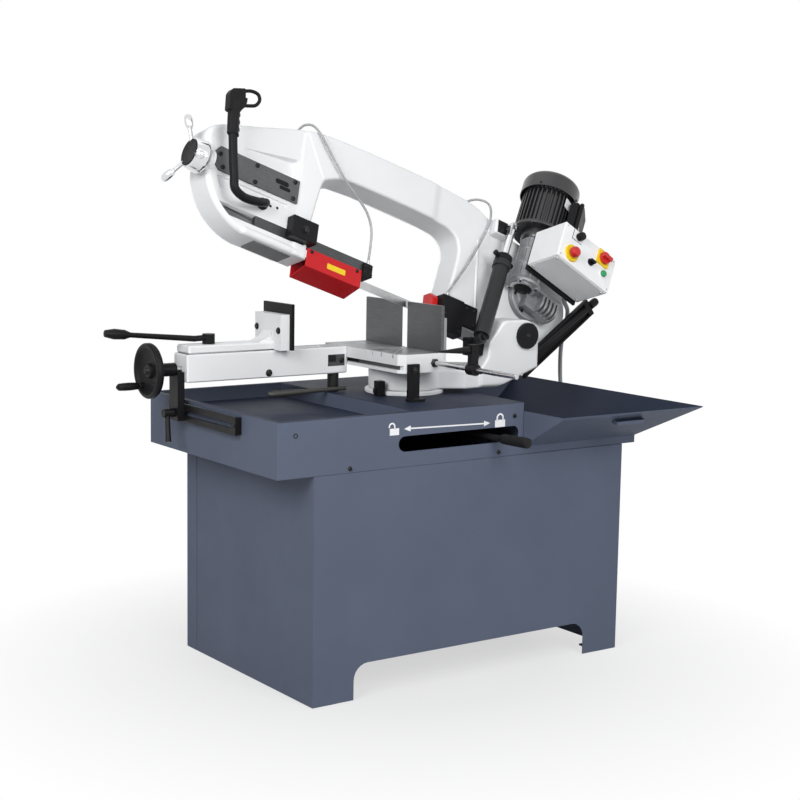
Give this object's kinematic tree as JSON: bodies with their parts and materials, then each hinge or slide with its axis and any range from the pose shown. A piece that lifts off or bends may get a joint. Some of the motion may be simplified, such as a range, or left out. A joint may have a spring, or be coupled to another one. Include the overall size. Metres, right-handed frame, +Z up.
{
  "type": "band saw",
  "caption": "Horizontal mitre band saw: a tilting bow with blade wheels, guides, gearbox and motor on a swivel arm, with a vise, coolant tray and sheet-metal cabinet.",
  "frame": {"origin": "on the floor, under the middle of the saw's plan outline", "axes": "+Z up, +X from the vise handwheel end to the motor end, -Y to the operator at the front"},
  "size_m": [1.8259, 1.013, 1.8227],
  "materials": {
    "slate_paint": "satin",
    "white_casting": "gloss",
    "white_sheet": "gloss",
    "black_paint": "satin",
    "motor_black": "satin",
    "black_plastic": "matte",
    "bright_steel": "satin",
    "chrome": "polished",
    "dark_steel": "matte",
    "wheel_iron": "matte",
    "cylinder_grey": "satin",
    "alloy": "satin",
    "red_paint": "gloss",
    "red_plastic": "gloss",
    "green_plastic": "gloss",
    "clear_hose": "gloss",
    "grey_conduit": "matte"
  },
  "bodies": {
    "base": {"cabinet": "slate_paint", "tray": "slate_paint", "coolant_tank": "slate_paint", "coolant_pump": "black_plastic", "slot_plate": "black_paint", "turntable_base": "white_casting", "work_table": "white_casting", "fence_front": "dark_steel", "fence_rear": "dark_steel", "table_bracket": "black_paint", "stop_rod": "bright_steel"},
    "lock_lever": {"mitre_lever": "black_paint"},
    "pan": {"chip_pan": "slate_paint"},
    "stop": {"stop_bracket": "black_paint", "stop_finger": "black_paint"},
    "vise": {"vise_bed": "white_casting", "vise_bracket": "black_paint"},
    "clamp": {"vise_clamp": "black_paint"},
    "jaw": {"vise_jaw": "white_casting", "jaw_plate": "black_paint"},
    "quick": {"quick_lever": "black_paint"},
    "crank": {"vise_screw": "bright_steel", "handwheel": "black_paint"},
    "crank_grip": {"handwheel_grip": "black_plastic"},
    "swivel": {"swivel_arm": "white_casting", "pivot_pin": "black_paint", "cylinder_bracket": "black_paint", "spring_arm": "black_paint"},
    "bow": {"bow_frame": "white_casting", "rear_cover": "white_sheet", "tension_plate": "dark_steel", "guide_clamp": "black_paint", "fixed_guide": "black_paint", "fixed_guard": "red_plastic", "bow_handle": "black_paint", "gearbox": "alloy", "motor": "motor_black", "fan_cowl": "black_paint", "terminal_box": "black_plastic", "control_box": "white_sheet", "box_plate": "black_paint", "saw_blade": "bright_steel", "left_hose": "clear_hose", "right_hose": "clear_hose", "conduit": "grey_conduit"},
    "drive": {"drive_wheel": "wheel_iron"},
    "carriage": {"tension_carriage": "bright_steel"},
    "idler": {"idler_wheel": "wheel_iron"},
    "tensioner": {"tension_hub": "chrome"},
    "guide": {"guide_bar": "dark_steel", "moving_guide": "black_paint", "blade_guard": "red_paint"},
    "trigger_body": {"trigger": "black_plastic"},
    "estop_body": {"estop": "red_plastic"},
    "main_switch_body": {"main_switch": "red_plastic"},
    "selector_body": {"selector": "black_plastic"},
    "start_body": {"start_button": "green_plastic"},
    "knob_body": {"feed_knob": "black_plastic"},
    "cylinder": {"feed_cylinder": "cylinder_grey"},
    "piston": {"feed_rod": "chrome"}
  },
  "joints": [
    {"name": "mitre_swivel", "type": "hinge", "parent": "base", "child": "swivel", "pos_m": [0.1045, 0.1085, 0.9], "axis": [0, 0, 1], "range_deg": [0, 45], "deforming": ["conduit"]},
    {"name": "bow_pivot", "type": "hinge", "parent": "swivel", "child": "bow", "pos_m": [0.4895, 0.1085, 1.05], "axis": [0, 1, 0], "range_deg": [-20.3, 4], "deforming": ["conduit"]},
    {"name": "lock_lever_turn", "type": "hinge", "parent": "base", "child": "lock_lever", "pos_m": [0.1045, 0.1085, 0.765], "axis": [0, 0, 1], "range_deg": [-38, 4]},
    {"name": "pan_pull", "type": "slide", "parent": "base", "child": "pan", "axis": [0, -1, 0], "range_m": [0, 0.35]},
    {"name": "stop_slide", "type": "slide", "parent": "base", "child": "stop", "axis": [0, 1, 0], "range_m": [-0.19, 0.15]},
    {"name": "vise_cross", "type": "slide", "parent": "base", "child": "vise", "axis": [0, -1, 0], "range_m": [-0.03, 0.3]},
    {"name": "vise_clamp_turn", "type": "hinge", "parent": "vise", "child": "clamp", "pos_m": [-0.6675, 0.2575, 0.832], "axis": [1, 0, 0], "range_deg": [-60, 60]},
    {"name": "jaw_slide", "type": "slide", "parent": "vise", "child": "jaw", "axis": [-1, 0, 0], "range_m": [-0.38381, 0.02081]},
    {"name": "quick_lever_turn", "type": "hinge", "parent": "jaw", "child": "quick", "pos_m": [-0.5445, 0.2575, 1.05], "axis": [0, 0, 1], "range_deg": [-75, 20]},
    {"name": "crank_turn", "type": "hinge", "parent": "vise", "child": "crank", "pos_m": [-0.7525, 0.2575, 0.967], "axis": [-1, 0, 0], "range_deg": [-27576, 1440]},
    {"name": "crank_grip_spin", "type": "hinge", "parent": "crank", "child": "crank_grip", "pos_m": [-0.80125, 0.29992, 0.91644], "axis": [-1, 0, 0], "continuous": true},
    {"name": "drive_spin", "type": "hinge", "parent": "bow", "child": "drive", "pos_m": [0.61438, 0.16103, 1.1426], "axis": [0.1072, -0.9511, 0.2898], "continuous": true},
    {"name": "idler_spin", "type": "hinge", "parent": "carriage", "child": "idler", "pos_m": [-0.45012, 0.16103, 1.53638], "axis": [0.1072, -0.9511, 0.2898], "continuous": true},
    {"name": "tension_slide", "type": "slide", "parent": "bow", "child": "carriage", "axis": [-0.9379, 0, 0.3469], "range_m": [-0.00401, 0.00001]},
    {"name": "tension_turn", "type": "hinge", "parent": "bow", "child": "tensioner", "pos_m": [-0.63798, 0.12775, 1.6174], "axis": [-0.9379, 0, 0.3469], "range_deg": [-720, 0]},
    {"name": "guide_slide", "type": "slide", "parent": "bow", "child": "guide", "axis": [0.9379, 0, -0.3469], "range_m": [0, 0.08], "deforming": ["left_hose"]},
    {"name": "trigger_pull", "type": "slide", "parent": "bow", "child": "trigger_body", "axis": [-0.9379, 0, 0.3469], "range_m": [0, 0.005], "stiffness_N_per_m": 600},
    {"name": "estop_press", "type": "slide", "parent": "bow", "child": "estop_body", "axis": [-0.1072, 0.9511, -0.2898], "range_m": [0, 0.004]},
    {"name": "start_press", "type": "slide", "parent": "bow", "child": "start_body", "axis": [-0.1072, 0.9511, -0.2898], "range_m": [0, 0.003], "stiffness_N_per_m": 800},
    {"name": "main_switch_turn", "type": "hinge", "parent": "bow", "child": "main_switch_body", "pos_m": [0.7771, -0.09864, 1.30336], "axis": [-0.1072, 0.9511, -0.2898], "range_deg": [-90, 0]},
    {"name": "selector_turn", "type": "hinge", "parent": "bow", "child": "selector_body", "pos_m": [0.70946, -0.1094, 1.29307], "axis": [-0.1072, 0.9511, -0.2898], "range_deg": [-45, 45]},
    {"name": "knob_turn", "type": "hinge", "parent": "bow", "child": "knob_body", "pos_m": [0.67587, -0.08784, 1.37624], "axis": [-0.1072, 0.9511, -0.2898], "range_deg": [0, 270]},
    {"name": "cylinder_tilt", "type": "hinge", "parent": "swivel", "child": "cylinder", "pos_m": [0.2915, -0.0565, 1.049], "axis": [-0.1383, 0.9171, -0.3738], "range_deg": [-14.16, 2.82]},
    {"name": "piston_slide", "type": "slide", "parent": "cylinder", "child": "piston", "axis": [0.5661, 0.3829, 0.73], "range_m": [-0.05445, 0.01083]}
  ],
  "couplings": [
    {"joint": "jaw_slide", "follows": "crank_turn", "m_per_rad": 0.00079577},
    {"joint": "idler_spin", "follows": "drive_spin", "ratio": 1},
    {"joint": "tension_slide", "follows": "tension_turn", "m_per_rad": 0.00031831},
    {"joint": "cylinder_tilt", "follows": "bow_pivot", "ratio": 0.69588},
    {"joint": "piston_slide", "follows": "bow_pivot", "m_per_rad": 0.15332}
  ]
}
